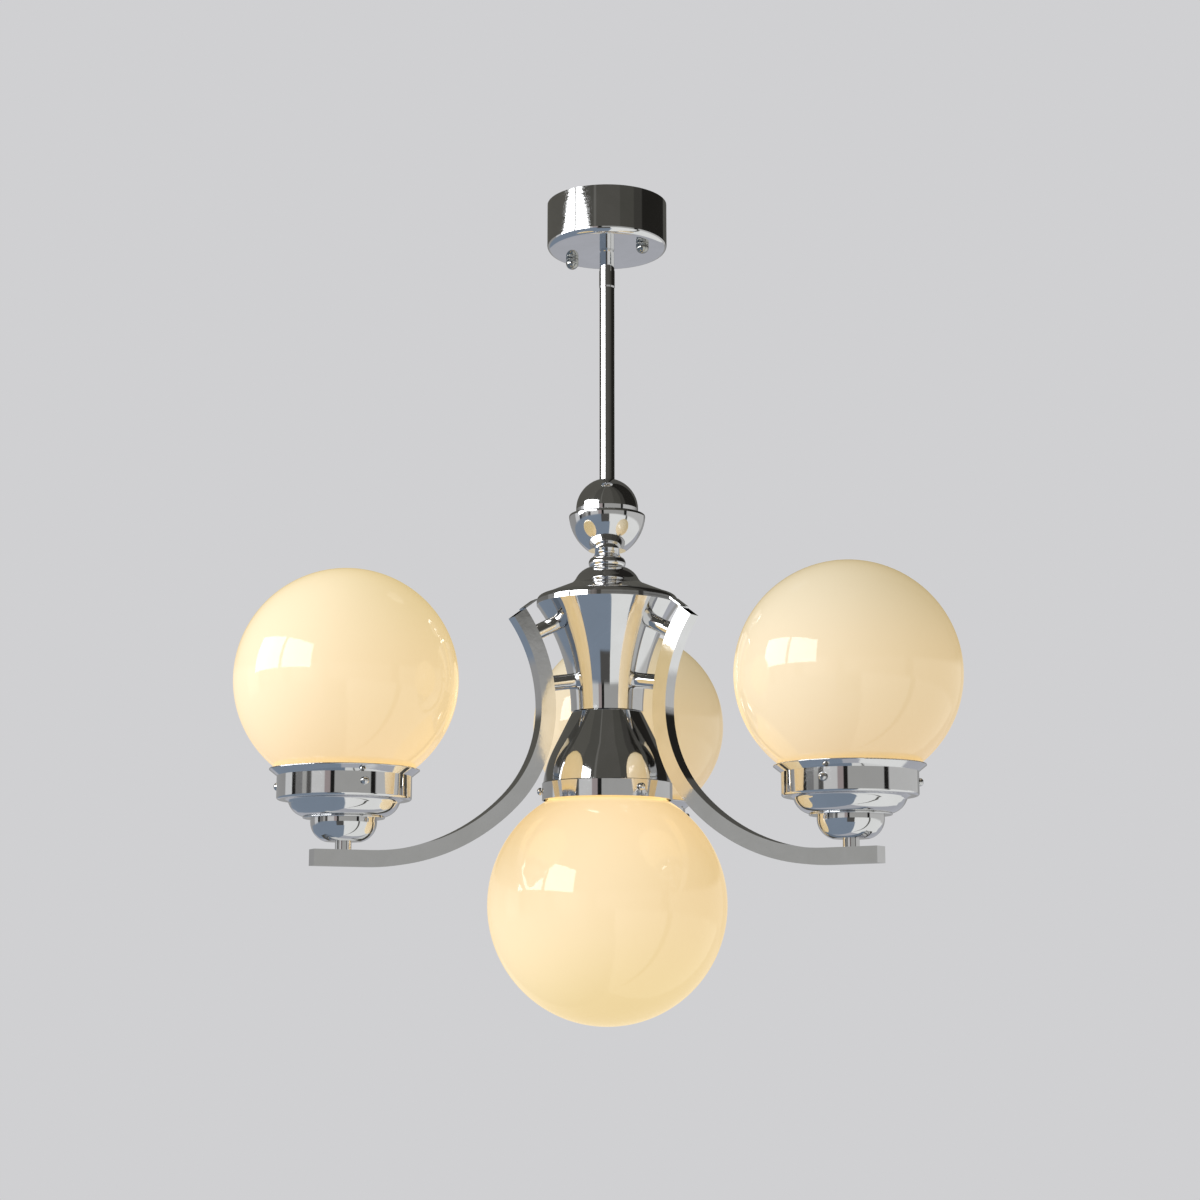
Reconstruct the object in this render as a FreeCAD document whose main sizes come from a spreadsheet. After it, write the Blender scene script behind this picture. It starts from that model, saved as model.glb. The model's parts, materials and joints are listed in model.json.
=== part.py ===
"""Branch chandelier with three curved arms and four opal globes.

All sizes are in millimetres and all angles in degrees.  The origin is on the
ceiling, at the centre of the mounting plate; +Z points up, so the lamp hangs
along -Z.  Each arm is drawn in its own upright plane, with X pointing away
from the lamp's axis, and is then turned about Z to its azimuth.
"""
import FreeCAD
import Part
import Sketcher
import math
import os
import re
from FreeCAD import Vector

# ---------------------------------------------------------------- driving sizes

SIZES = {
    # sheet metal, glass and the gaps between pieces
    "wall": 1.2,
    "glass_wall": 3.0,
    "seat_gap": 0.3,
    "thread_gap": 0.1,
    # threaded tube that runs through every stack, and its lock nuts
    "nipple_r": 5.0,
    "nipple_bore_r": 4.0,
    "nut_flats": 14.0,
    "nut_h": 4.0,
    # round plate screwed to the ceiling
    "plate_r": 46.0,
    "plate_t": 2.0,
    "slot_pitch": 60.0,
    "slot_len": 14.0,
    "slot_w": 5.0,
    "cable_hole_r": 10.0,
    # studs that carry the canopy, and their nuts
    "stud_r": 2.0,
    "stud_circle_r": 37.5,
    "stud_azimuth": -30.0,
    "stud_reach": 4.0,
    "stud_nut_flats": 7.0,
    "stud_nut_h": 3.2,
    "cap_nut_r": 5.5,
    "cap_nut_side_h": 3.5,
    "cap_nut_bore_h": 5.0,
    # terminal block under the plate
    "block_len": 36.0,
    "block_w": 15.0,
    "block_h": 13.0,
    "block_offset": 25.0,
    "pole_pitch": 12.0,
    "pole_bore_r": 2.2,
    # canopy
    "canopy_r": 52.3,
    "canopy_h": 42.5,
    "canopy_edge_r": 5.5,
    # stem with its two short sleeves
    "stem_r": 6.5,
    "stem_len": 171.5,
    "sleeve_h": 17.9,
    "sleeve_edge_r": 1.5,
    "coupler_r": 6.8,
    "coupler_h": 15.8,
    "nipple_grip": 12.0,
    # knob: a dome that stands on the turned-in rim of a bowl
    "dome_top_r": 6.6,
    "dome_h": 31.0,
    "dome_side_h": 4.7,
    "dome_side_r": 26.6,
    "dome_foot_r": 26.3,
    "dome_curve_r": 26.9,
    "bowl_r": 32.6,
    "bowl_ring_r": 24.5,
    "bowl_rim_h": 2.3,
    "bowl_lip_r": 1.5,
    "bowl_h": 31.3,
    "bowl_foot_r": 16.0,
    "bowl_curve_r": 40.0,
    # turned spool under the knob
    "spool_h": 15.0,
    "waist_r": 10.5,
    "waist_h": 1.5,
    "spool_bulge_h": 8.0,
    "spool_cove_r": 6.0,
    "spool_bulge_r": 5.8,
    "spool_foot_r": 14.2,
    # hat-shaped cap of the column
    "cap_h": 32.8,
    "cap_top_r": 15.5,
    "cap_dome_r": 26.2,
    "cap_dome_h": 8.5,
    "cap_dome_curve_r": 18.0,
    "cap_flare_r": 34.2,
    "cap_flare_h": 15.5,
    "cap_flare_curve_r": 13.0,
    "cap_brim_r": 55.5,
    "cap_brim_h": 24.4,
    "cap_rim_curve_r": 5.0,
    # trumpet-shaped column; its side runs parallel to the arms' upper bend
    "column_h": 91.2,
    "column_gap": 19.5,
    # bell under the column, and the ring that grips the lower globe
    "bell_h": 60.0,
    "bell_top_r": 28.6,
    "bell_neck_r": 30.0,
    "bell_neck_h": 0.8,
    "bell_cone_r": 45.4,
    "bell_cone_h": 31.6,
    "bell_side_curve_r": 90.0,
    "bell_r": 53.9,
    "ring_r": 54.8,
    "ring_h": 14.5,
    "ring_edge_r": 0.8,
    "ring_screw_drop": 7.0,
    # arms of square tube
    "bar_side": 13.0,
    "arm_waist": 56.6,
    "bend_r": 131.0,
    "bend_rise": 37.0,
    "elbow_r": 110.0,
    "elbow_turn": 45.0,
    "arm_drop": 128.0,
    "reach": 231.0,
    "arm_tail": 26.0,
    "end_plate_t": 1.2,
    "left_azimuth": -150.0,
    "right_azimuth": -30.0,
    "back_azimuth": 90.0,
    # posts between column and arms
    "post_r": 6.5,
    "post_grip": 14.0,
    "upper_post_angle": 27.5,
    "lower_post_angle": 9.0,
    # stack at each arm's end: spacer, two cups and the gallery
    "spacer_h": 6.5,
    "lower_cup_h": 18.0,
    "lower_cup_foot_r": 15.0,
    "lower_cup_r": 26.4,
    "lower_cup_side_h": 14.5,
    "lower_cup_curve_r": 16.0,
    "upper_cup_h": 14.5,
    "upper_cup_foot_r": 32.0,
    "bead_r": 0.7,
    "upper_cup_r": 43.6,
    "upper_cup_side_h": 11.1,
    "upper_cup_curve_r": 16.0,
    "upper_cup_rim_r": 47.8,
    "cove_r": 4.5,
    "gallery_r": 53.6,
    "gallery_edge_r": 2.0,
    "gallery_h": 19.5,
    "lip_run": 6.5,
    "lip_slope": 38.5,
    "gallery_screw_rise": 11.5,
    # gallery screws
    "screw_r": 1.5,
    "screw_head_r": 3.2,
    "screw_head_side": 1.4,
    "screw_head_dome": 2.2,
    "screw_stand_off": 0.6,
    "left_screw_turn": -61.8,
    "right_screw_turn": 7.1,
    "back_screw_turn": 120.0,
    "bottom_screw_turn": -55.0,
    # globes
    "globe_r": 90.0,
    "neck_r": 49.5,
    "neck_h": 20.0,
    "low_globe_r": 100.0,
    "low_neck_h": 9.0,
    "bead_lip_r": 51.8,
    "bead_lip_h": 3.6,
    # lampholders and bulbs
    "holder_r": 19.5,
    "holder_foot_r": 15.5,
    "holder_h": 44.0,
    "holder_grip": 9.0,
    "socket_r": 13.6,
    "socket_depth": 26.0,
    "bulb_cap_r": 13.2,
    "bulb_cap_h": 25.4,
    "bulb_tip_r": 4.5,
    "bulb_tip_h": 2.0,
    "bulb_shoulder_h": 3.0,
    "bulb_r": 27.5,
    "bulb_len": 98.0,
    "bulb_waist_curve_r": 45.0,
}

# Heights and places that follow from the sizes above.
PLACES = {
    "hole_r": "nipple_r + thread_gap",
    # down the middle of the lamp
    "canopy_floor": "-canopy_h",
    "stem_top": "canopy_floor - sleeve_h - coupler_h",
    "knob_top": "stem_top - stem_len",
    "knob_rim": "knob_top - dome_h",
    "knob_base": "knob_rim - bowl_h",
    "spool_base": "knob_base - spool_h",
    "cap_base": "spool_base - cap_h",
    "column_base": "cap_base - column_h",
    "bell_base": "column_base - bell_h",
    "ring_base": "bell_base - ring_h",
    "ring_screw": "bell_base - ring_screw_drop",
    "low_holder_top": "bell_base - wall - nut_h",
    # upper bend of the arms, and the column's side around the same centre
    "bend_x": "arm_waist + bend_r",
    "arm_face_r": "bend_r + bar_side / 2",
    "column_curve_r": "arm_face_r + column_gap",
    "column_foot_r": "bend_x - column_curve_r",
    "column_top_r": "bend_x - sqrt(column_curve_r ^ 2 - column_h ^ 2)",
    # lower part of the arms
    "arm_axis": "column_base - arm_drop",
    "elbow_x": "arm_waist + elbow_r",
    "elbow_end_x": "elbow_x - elbow_r * cos(elbow_turn)",
    "elbow_end_z": "column_base - elbow_r * sin(elbow_turn)",
    "sweep_r": "(elbow_end_z - arm_axis) / (1 - sin(elbow_turn))",
    "sweep_end_x": "elbow_end_x + sweep_r * cos(elbow_turn)",
    "arm_end_x": "reach + arm_tail - end_plate_t",
    # up the stack at each arm's end
    "arm_top": "arm_axis + bar_side / 2",
    "cup_base": "arm_top + spacer_h",
    "cup_joint": "cup_base + lower_cup_h",
    "gallery_base": "cup_joint + upper_cup_h",
    "gallery_top": "gallery_base + gallery_h",
    "gallery_inner_r": "gallery_r - wall",
    "gallery_screw": "gallery_base + gallery_screw_rise",
    "holder_base": "gallery_base + wall + nut_h",
    # globes: the upper ones stand on the gallery's floor with their necks, the lower one hangs on its screws
    "neck_foot": "gallery_base + wall + seat_gap",
    "neck_joint": "neck_foot + neck_h",
    "globe_z": "neck_joint + sqrt(globe_r ^ 2 - neck_r ^ 2)",
    "neck_inner_r": "neck_r - glass_wall",
    "globe_inner_r": "globe_r - glass_wall",
    "neck_inner_joint": "globe_z - sqrt(globe_inner_r ^ 2 - neck_inner_r ^ 2)",
    "low_bead_z": "ring_screw + screw_r + seat_gap",
    "low_neck_joint": "low_bead_z - low_neck_h",
    "low_globe_z": "low_neck_joint - sqrt(low_globe_r ^ 2 - neck_r ^ 2)",
    "low_globe_inner_r": "low_globe_r - glass_wall",
    "low_neck_inner_joint": "low_globe_z + sqrt(low_globe_inner_r ^ 2 - neck_inner_r ^ 2)",
}

ARMS = ["left", "right", "back"]

document = FreeCAD.newDocument("branch_chandelier")
sheet = document.addObject("Spreadsheet::Sheet", "Sizes")
for row, (name, number) in enumerate(SIZES.items(), start=1):
    sheet.set("A%d" % row, name)
    sheet.set("B%d" % row, str(number))
    sheet.setAlias("B%d" % row, name)
document.recompute()

nodes = []


# ---------------------------------------------------------------- shared helpers

def bind(text):
    """Turn plain size and place names into an expression on the sheet."""
    def replace(match):
        word = match.group()
        if word in PLACES:
            return "(" + bind(PLACES[word]) + ")"
        if word in SIZES:
            return "Sizes." + word
        return word
    return re.sub(r"[a-z_]+", replace, text)


def value(text):
    """Number that an expression stands for now."""
    return float(sheet.evalExpression(bind(text)))


def keep(label, thing):
    """Name a finished piece and list it for export."""
    thing.Label = label
    nodes.append(thing)
    return thing


def origin_part(body, role):
    """Plane or axis of a body's own origin."""
    return [part for part in body.Origin.OriginFeatures if part.Role == role][0]


def placed(x, y, z, yaw="0", pitch="0", inner_x="0"):
    """Placement expression: turn about Z by yaw, then tip about Y by pitch."""
    along = "((%s) * cos(%s) - (%s) * sin(%s)" % (x, yaw, y, yaw)
    across = "((%s) * sin(%s) + (%s) * cos(%s)" % (x, yaw, y, yaw)
    spot = "vector(%s); %s); %s)" % (along, across, z)
    return bind("placement(%s; rotation(%s; %s; 0))" % (spot, yaw, pitch))


def arc_between(start, end, radius, turn):
    """Arc of a circle from start to end; turn is +1 anticlockwise, -1 clockwise."""
    half_x = (end[0] - start[0]) / 2
    half_y = (end[1] - start[1]) / 2
    half = math.hypot(half_x, half_y)
    rise = math.sqrt(max(radius ** 2 - half ** 2, 0.0)) * turn
    centre_x = start[0] + half_x - half_y / half * rise
    centre_y = start[1] + half_y + half_x / half * rise
    first, last = (start, end) if turn > 0 else (end, start)
    circle = Part.Circle(Vector(centre_x, centre_y, 0), Vector(0, 0, 1), radius)
    first_angle = math.atan2(first[1] - centre_y, first[0] - centre_x)
    last_angle = math.atan2(last[1] - centre_y, last[0] - centre_x)
    return Part.ArcOfCircle(circle, first_angle, last_angle)


def pin_corner(sketch, index, position, corner):
    """Tie one corner of a sketch to its two size expressions."""
    for kind, axis, text in (("DistanceX", -2, corner[0]), ("DistanceY", -1, corner[1])):
        if text == "0":
            sketch.addConstraint(Sketcher.Constraint("PointOnObject", index, position, axis))
            continue
        added = sketch.addConstraint(Sketcher.Constraint(kind, index, position, value(text)))
        sketch.setExpression("Constraints[%d]" % added, bind(text))


def draw(body, name, outline, plane="XZ_Plane", closed=True):
    """Sketch an outline of corners (x, y) and arcs (x, y, radius, turn)."""
    sketch = body.newObject("Sketcher::SketchObject", name)
    sketch.AttachmentSupport = [(origin_part(body, plane), "")]
    sketch.MapMode = "FlatFace"
    corners = [(value(corner[0]), value(corner[1])) for corner in outline]
    count = len(outline)
    runs = count if closed else count - 1
    ends = []
    for index in range(runs):
        target = outline[(index + 1) % count]
        start = corners[index]
        end = corners[(index + 1) % count]
        if len(target) == 2:
            sketch.addGeometry(Part.LineSegment(Vector(*start, 0), Vector(*end, 0)), False)
            ends.append((1, 2))
            continue
        radius = value(target[2])
        sketch.addGeometry(arc_between(start, end, radius, target[3]), False)
        ends.append((1, 2) if target[3] > 0 else (2, 1))
    for index in range(runs if closed else runs - 1):
        after = (index + 1) % count
        sketch.addConstraint(Sketcher.Constraint("Coincident", index, ends[index][1], after, ends[after][0]))
    for index in range(runs):
        pin_corner(sketch, index, ends[index][0], outline[index])
        target = outline[(index + 1) % count]
        if len(target) > 2:
            added = sketch.addConstraint(Sketcher.Constraint("Radius", index, value(target[2])))
            sketch.setExpression("Constraints[%d]" % added, bind(target[2]))
    if not closed:
        pin_corner(sketch, runs - 1, ends[-1][1], outline[-1])
    return sketch


def turned(name, outline, where=None):
    """Piece turned or spun about an upright axis, from half its section."""
    body = document.addObject("PartDesign::Body", name)
    sketch = draw(body, name + "_section", outline)
    spin = body.newObject("PartDesign::Revolution", name + "_spin")
    spin.Profile = sketch
    spin.ReferenceAxis = (sketch, ["V_Axis"])
    spin.Angle = 360
    if where:
        body.setExpression("Placement", where)
    return body


def rod(name, radius, length, where):
    """Plain round bar along its own Z."""
    bar = document.addObject("Part::Cylinder", name)
    bar.setExpression("Radius", bind(radius))
    bar.setExpression("Height", bind(length))
    bar.setExpression("Placement", where)
    return bar


def cut(name, base, tool):
    """Base less tool."""
    result = document.addObject("Part::Cut", name)
    result.Base = base
    result.Tool = tool
    return result


def group(name, pieces):
    """Several separate solids kept together."""
    together = document.addObject("Part::Compound", name)
    together.Links = pieces
    return together


def tube(name, outer_r, inner_r, length, where):
    """Round tube along its own Z."""
    outside = rod(name + "_outside", outer_r, length, where)
    inside = rod(name + "_inside", inner_r, length, where)
    return cut(name, outside, inside)


def hex_nut(name, flats, height, bore_r, where):
    """Plain hexagon nut along its own Z."""
    blank = document.addObject("Part::Prism", name + "_blank")
    blank.Polygon = 6
    blank.setExpression("Circumradius", bind("%s / (2 * cos(30))" % flats))
    blank.setExpression("Height", bind(height))
    blank.setExpression("Placement", where)
    return cut(name, blank, rod(name + "_bore", bore_r, height, where))


def radial_holes(body, name, level, radius, count):
    """Round holes through an upright wall, spread evenly about the body's Z."""
    sketch = body.newObject("Sketcher::SketchObject", name + "_circle")
    sketch.AttachmentSupport = [(origin_part(body, "YZ_Plane"), "")]
    sketch.MapMode = "FlatFace"
    circle = Part.Circle(Vector(0, value(level), 0), Vector(0, 0, 1), value(radius))
    sketch.addGeometry(circle, False)
    pin_corner(sketch, 0, 3, ("0", level))
    added = sketch.addConstraint(Sketcher.Constraint("Radius", 0, value(radius)))
    sketch.setExpression("Constraints[%d]" % added, bind(radius))
    document.recompute()
    before = body.Shape.Volume
    pocket = body.newObject("PartDesign::Pocket", name + "_first")
    pocket.Profile = sketch
    pocket.Type = "ThroughAll"
    pocket.Reversed = True
    pattern = body.newObject("PartDesign::PolarPattern", name)
    pattern.Originals = [pocket]
    pattern.Axis = (origin_part(body, "Z_Axis"), [""])
    pattern.Angle = 360
    pattern.Occurrences = count
    body.Tip = pattern
    document.recompute()
    if body.Shape.Volume >= before:
        raise RuntimeError(name + " cut nothing")


# ---------------------------------------------------------------- ceiling mounting

def mounting_plate():
    """Round plate with two slots for ceiling screws, two tapped stud holes and a cable hole."""
    blank = rod("plate_blank", "plate_r", "plate_t", placed("0", "0", "-plate_t"))
    tools = [rod("cable_hole", "cable_hole_r", "3 * plate_t", placed("0", "0", "-2 * plate_t"))]
    for side in ("1", "-1"):
        mark = "east" if side == "1" else "west"
        stud = placed(side + " * stud_circle_r", "0", "-2 * plate_t", "stud_azimuth")
        tools.append(rod("stud_hole_" + mark, "stud_r + thread_gap", "3 * plate_t", stud))
        slot_middle = side + " * slot_pitch / 2"
        half_run = "(slot_len - slot_w) / 2"
        for end in ("+", "-"):
            spot = placed("%s %s %s" % (slot_middle, end, half_run), "0", "-2 * plate_t")
            tools.append(rod("slot_end", "slot_w / 2", "3 * plate_t", spot))
        middle = document.addObject("Part::Box", "slot_middle_" + mark)
        middle.setExpression("Length", bind("slot_len - slot_w"))
        middle.setExpression("Width", bind("slot_w"))
        middle.setExpression("Height", bind("3 * plate_t"))
        corner = placed("%s - %s" % (slot_middle, half_run), "-slot_w / 2", "-2 * plate_t")
        middle.setExpression("Placement", corner)
        tools.append(middle)
    tool = document.addObject("Part::MultiFuse", "plate_openings")
    tool.Shapes = tools
    keep("mounting_plate", cut("plate", blank, tool))


def stud_sets():
    """Two studs with lock nuts under the plate, and the cap nuts that hold the canopy."""
    studs = []
    lock_nuts = []
    length = "canopy_h + stud_reach - seat_gap"
    for side, mark in (("1", "right"), ("-1", "left")):
        foot = placed(side + " * stud_circle_r", "0", "-canopy_h - stud_reach", "stud_azimuth")
        studs.append(rod("stud_" + mark, "stud_r", length, foot))
        under = placed(side + " * stud_circle_r", "0", "-plate_t - stud_nut_h", "stud_azimuth")
        lock_nuts.append(hex_nut("lock_nut_" + mark, "stud_nut_flats", "stud_nut_h",
                                 "stud_r + thread_gap", under))
        outline = [
            ("stud_r + thread_gap", "canopy_floor"),
            ("cap_nut_r", "canopy_floor"),
            ("cap_nut_r", "canopy_floor - cap_nut_side_h"),
            ("0", "canopy_floor - cap_nut_side_h - cap_nut_r", "cap_nut_r", -1),
            ("0", "canopy_floor - cap_nut_bore_h"),
            ("stud_r + thread_gap", "canopy_floor - cap_nut_bore_h"),
        ]
        spot = placed(side + " * stud_circle_r", "0", "0", "stud_azimuth")
        keep("canopy_cap_nut_" + mark, turned("cap_nut_" + mark, outline, spot))
    keep("canopy_studs", group("studs", studs))
    keep("stud_lock_nuts", group("lock_nuts", lock_nuts))


def terminal_block():
    """Three-pole block against the underside of the plate, beside the cable hole."""
    blank = document.addObject("Part::Box", "block_blank")
    blank.setExpression("Length", bind("block_len"))
    blank.setExpression("Width", bind("block_w"))
    blank.setExpression("Height", bind("block_h"))
    corner = placed("-block_len / 2", "block_offset - block_w / 2", "-plate_t - block_h")
    blank.setExpression("Placement", corner)
    tools = []
    for pole in ("-1", "0", "1"):
        along = "%s * pole_pitch" % pole
        wire_way = bind("placement(vector(%s; block_offset - block_w; -plate_t - block_h / 3);"
                        " rotation(0; 0; -90))" % along)
        tools.append(rod("wire_way", "pole_bore_r", "2 * block_w", wire_way))
        screw_way = placed(along, "block_offset", "-plate_t - 2 * block_h")
        tools.append(rod("screw_way", "pole_bore_r", "block_h + 2 * block_h / 3", screw_way))
    tool = document.addObject("Part::MultiFuse", "block_openings")
    tool.Shapes = tools
    keep("terminal_block", cut("block", blank, tool))


def canopy():
    """Spun cup with an open top against the ceiling and three holes in its floor."""
    body = turned("canopy_cup", [
        ("hole_r", "canopy_floor"),
        ("canopy_r - canopy_edge_r", "canopy_floor"),
        ("canopy_r", "canopy_floor + canopy_edge_r", "canopy_edge_r", 1),
        ("canopy_r", "0"),
        ("canopy_r - wall", "0"),
        ("canopy_r - wall", "canopy_floor + canopy_edge_r"),
        ("canopy_r - canopy_edge_r", "canopy_floor + wall", "canopy_edge_r - wall", -1),
        ("hole_r", "canopy_floor + wall"),
    ])
    tools = []
    for side in ("1", "-1"):
        spot = placed(side + " * stud_circle_r", "0", "canopy_floor - wall", "stud_azimuth")
        tools.append(rod("canopy_hole", "stud_r + seat_gap", "3 * wall", spot))
    keep("canopy", cut("canopy_drilled", body, group("canopy_holes", tools)))


# ---------------------------------------------------------------- stem and its stack

def stem():
    """Hollow stem under two short sleeves, joined to the canopy by a threaded nipple."""
    nipple_top = "canopy_floor + wall + 2 * nut_h"
    nipple_end = "stem_top - nipple_grip"
    keep("stem_nipple", tube("nipple", "nipple_r", "nipple_bore_r",
                             "(%s) - (%s)" % (nipple_top, nipple_end), placed("0", "0", nipple_end)))
    keep("stem_lock_nut", hex_nut("stem_nut", "nut_flats", "nut_h", "hole_r",
                                  placed("0", "0", "canopy_floor + wall")))
    keep("stem_sleeve", turned("sleeve", [
        ("hole_r", "canopy_floor - sleeve_h"),
        ("stem_r", "canopy_floor - sleeve_h"),
        ("stem_r", "canopy_floor - sleeve_edge_r"),
        ("stem_r - sleeve_edge_r / 2", "canopy_floor"),
        ("hole_r", "canopy_floor"),
    ]))
    keep("stem_coupler", turned("coupler", [
        ("hole_r", "stem_top"),
        ("stem_r", "stem_top"),
        ("coupler_r", "stem_top + sleeve_edge_r"),
        ("coupler_r", "canopy_floor - sleeve_h"),
        ("hole_r", "canopy_floor - sleeve_h"),
    ]))
    keep("stem_tube", tube("stem_pipe", "stem_r", "hole_r", "stem_len", placed("0", "0", "knob_top")))


def tie_rod():
    """Threaded tube that clamps everything from the stem down to the lower gallery."""
    top = "knob_top + nipple_grip"
    foot = "low_holder_top - holder_grip + seat_gap"
    keep("tie_tube", tube("tie", "nipple_r", "nipple_bore_r", "(%s) - (%s)" % (top, foot),
                          placed("0", "0", foot)))
    keep("tie_nut", hex_nut("tie_lock", "nut_flats", "nut_h", "hole_r",
                            placed("0", "0", "low_holder_top")))


def knob():
    """Dome standing on the turned-in rim of a round bowl."""
    keep("knob_dome", turned("dome", [
        ("hole_r", "knob_top - wall"),
        ("dome_top_r", "knob_top - wall"),
        ("dome_side_r - wall", "knob_rim + dome_side_h", "dome_curve_r - wall", -1),
        ("dome_foot_r - wall", "knob_rim"),
        ("dome_foot_r", "knob_rim"),
        ("dome_side_r", "knob_rim + dome_side_h"),
        ("dome_top_r", "knob_top", "dome_curve_r", 1),
        ("hole_r", "knob_top"),
    ]))
    keep("knob_bowl", turned("bowl", [
        ("hole_r", "knob_base"),
        ("bowl_foot_r", "knob_base"),
        ("bowl_r", "knob_rim - bowl_rim_h", "bowl_curve_r", 1),
        ("bowl_r", "knob_rim - bowl_lip_r"),
        ("bowl_r - bowl_lip_r", "knob_rim", "bowl_lip_r", 1),
        ("bowl_ring_r", "knob_rim"),
        ("bowl_ring_r", "knob_rim - wall"),
        ("bowl_r - wall", "knob_rim - wall"),
        ("bowl_r - wall", "knob_rim - bowl_rim_h"),
        ("bowl_foot_r", "knob_base + wall", "bowl_curve_r - wall", -1),
        ("hole_r", "knob_base + wall"),
    ]))


def spool():
    """Solid turned spool: a narrow waist over a round bulge."""
    keep("spool", turned("spool_turning", [
        ("hole_r", "spool_base"),
        ("spool_foot_r", "spool_base"),
        ("spool_foot_r", "spool_base + spool_bulge_h", "spool_bulge_r", 1),
        ("waist_r", "knob_base - waist_h", "spool_cove_r", -1),
        ("waist_r", "knob_base"),
        ("hole_r", "knob_base"),
    ]))


def column():
    """Hat-shaped cap on a trumpet-shaped shell, drilled for the arms' posts."""
    keep("column_cap", turned("cap", [
        ("hole_r", "spool_base"),
        ("hole_r", "spool_base - wall"),
        ("cap_top_r - wall / 2", "spool_base - wall"),
        ("cap_dome_r - wall", "spool_base - cap_dome_h - wall / 2", "cap_dome_curve_r - wall", -1),
        ("cap_flare_r - wall / 2", "spool_base - cap_flare_h - wall", "cap_flare_curve_r + wall", 1),
        ("cap_brim_r - wall / 2", "spool_base - cap_brim_h - wall"),
        ("column_top_r - wall", "cap_base + cap_rim_curve_r - wall", "cap_rim_curve_r", -1),
        ("column_top_r - wall", "cap_base"),
        ("column_top_r + seat_gap", "cap_base"),
        ("column_top_r + seat_gap", "cap_base + cap_rim_curve_r - wall"),
        ("cap_brim_r", "spool_base - cap_brim_h", "cap_rim_curve_r", 1),
        ("cap_flare_r", "spool_base - cap_flare_h"),
        ("cap_dome_r", "spool_base - cap_dome_h", "cap_flare_curve_r", -1),
        ("cap_top_r", "spool_base", "cap_dome_curve_r", 1),
    ]))
    shell = turned("column_shell", [
        ("hole_r", "column_base"),
        ("column_foot_r", "column_base"),
        ("column_top_r", "cap_base", "column_curve_r", -1),
        ("bend_x - sqrt((column_curve_r + wall) ^ 2 - column_h ^ 2)", "cap_base"),
        ("bend_x - sqrt((column_curve_r + wall) ^ 2 - wall ^ 2)", "column_base + wall",
         "column_curve_r + wall", 1),
        ("hole_r", "column_base + wall"),
    ])
    tools = []
    for arm in ARMS:
        for post in ("upper", "lower"):
            spot = along_post("column_curve_r - wall", post, arm)
            tools.append(rod("column_hole", "hole_r", "3 * wall", spot))
    keep("column", cut("column_drilled", shell, group("column_holes", tools)))
    return shell


def along_post(distance, post, arm):
    """Placement on a post's axis, at a distance from the bend's centre, Z towards the column."""
    angle = post + "_post_angle"
    x = "bend_x - (%s) * cos(%s)" % (distance, angle)
    z = "column_base + (%s) * sin(%s)" % (distance, angle)
    return placed(x, "0", z, arm + "_azimuth", angle + " - 90")


def bell():
    """Bell under the column and the pressed gallery that shows below its edge."""
    keep("bell", turned("bell_shell", [
        ("hole_r", "column_base"),
        ("hole_r", "column_base - wall"),
        ("bell_neck_r - wall / 2", "column_base - wall"),
        ("bell_cone_r - wall", "column_base - bell_cone_h - wall / 2"),
        ("bell_r - wall", "bell_base", "bell_side_curve_r - wall", -1),
        ("bell_r", "bell_base"),
        ("bell_cone_r", "column_base - bell_cone_h", "bell_side_curve_r", 1),
        ("bell_neck_r", "column_base - bell_neck_h"),
        ("bell_top_r", "column_base"),
    ]))
    ring = turned("ring", [
        ("hole_r", "bell_base"),
        ("hole_r", "bell_base - wall"),
        ("ring_r - wall", "bell_base - wall"),
        ("ring_r - wall", "ring_base"),
        ("ring_r", "ring_base"),
        ("ring_r", "bell_base - ring_edge_r"),
        ("ring_r - ring_edge_r", "bell_base", "ring_edge_r", 1),
    ], placed("0", "0", "0", "bottom_screw_turn"))
    radial_holes(ring, "ring_screw_holes", "ring_screw", "screw_r + thread_gap", 3)
    keep("lower_gallery", ring)


# ---------------------------------------------------------------- arms and posts

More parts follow.
